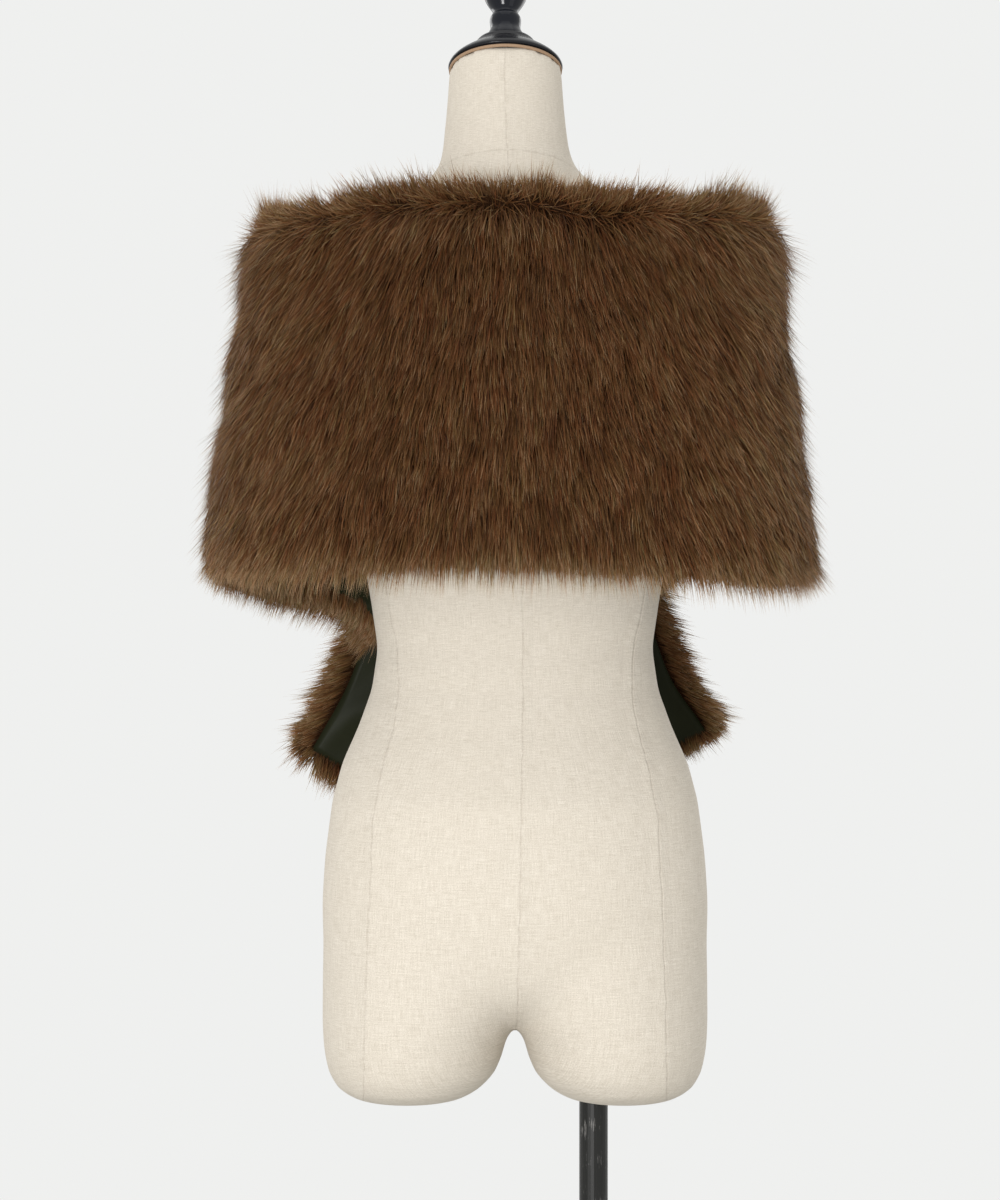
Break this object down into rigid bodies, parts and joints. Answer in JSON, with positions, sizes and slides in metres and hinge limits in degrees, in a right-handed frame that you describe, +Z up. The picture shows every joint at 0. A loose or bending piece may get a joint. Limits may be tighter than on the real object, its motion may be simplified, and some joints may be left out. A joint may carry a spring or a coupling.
{
  "type": "fur collar wrap on a dress form stand",
  "caption": "Deep faux fur shoulder wrap with a satin lining, its ends crossed in front and hanging out at the sides, on a canvas dress form with a turned neck cap and a round base",
  "frame": {"origin": "middle of the round base's underside, where it rests on the floor", "axes": "+Z up, -Y the front of the wearer, +X the wearer's left"},
  "size_m": [0.52, 0.3545, 1.5686],
  "materials": {
    "fur": "long brown fur pile with lighter tips",
    "lining": "dark green satin",
    "form_canvas": "natural linen canvas",
    "black_lacquer": "glossy black lacquer on turned wood",
    "black_steel": "scuffed black paint on steel"
  },
  "bodies": {
    "root": {"fur_back": "fur", "fur_left_shoulder": "fur", "fur_right_shoulder": "fur", "fur_left_front": "fur", "fur_right_front": "fur", "fur_left_end": "fur", "fur_right_end": "fur", "lining_back": "lining", "lining_left_shoulder": "lining", "lining_right_shoulder": "lining", "lining_left_front": "lining", "lining_right_front": "lining", "lining_left_end": "lining", "lining_right_end": "lining", "form_body": "form_canvas", "neck_cap": "black_lacquer", "finial": "black_lacquer", "stand_pole": "black_steel", "pole_collar": "black_steel", "stand_base": "black_steel"}
  },
  "joints": []
}
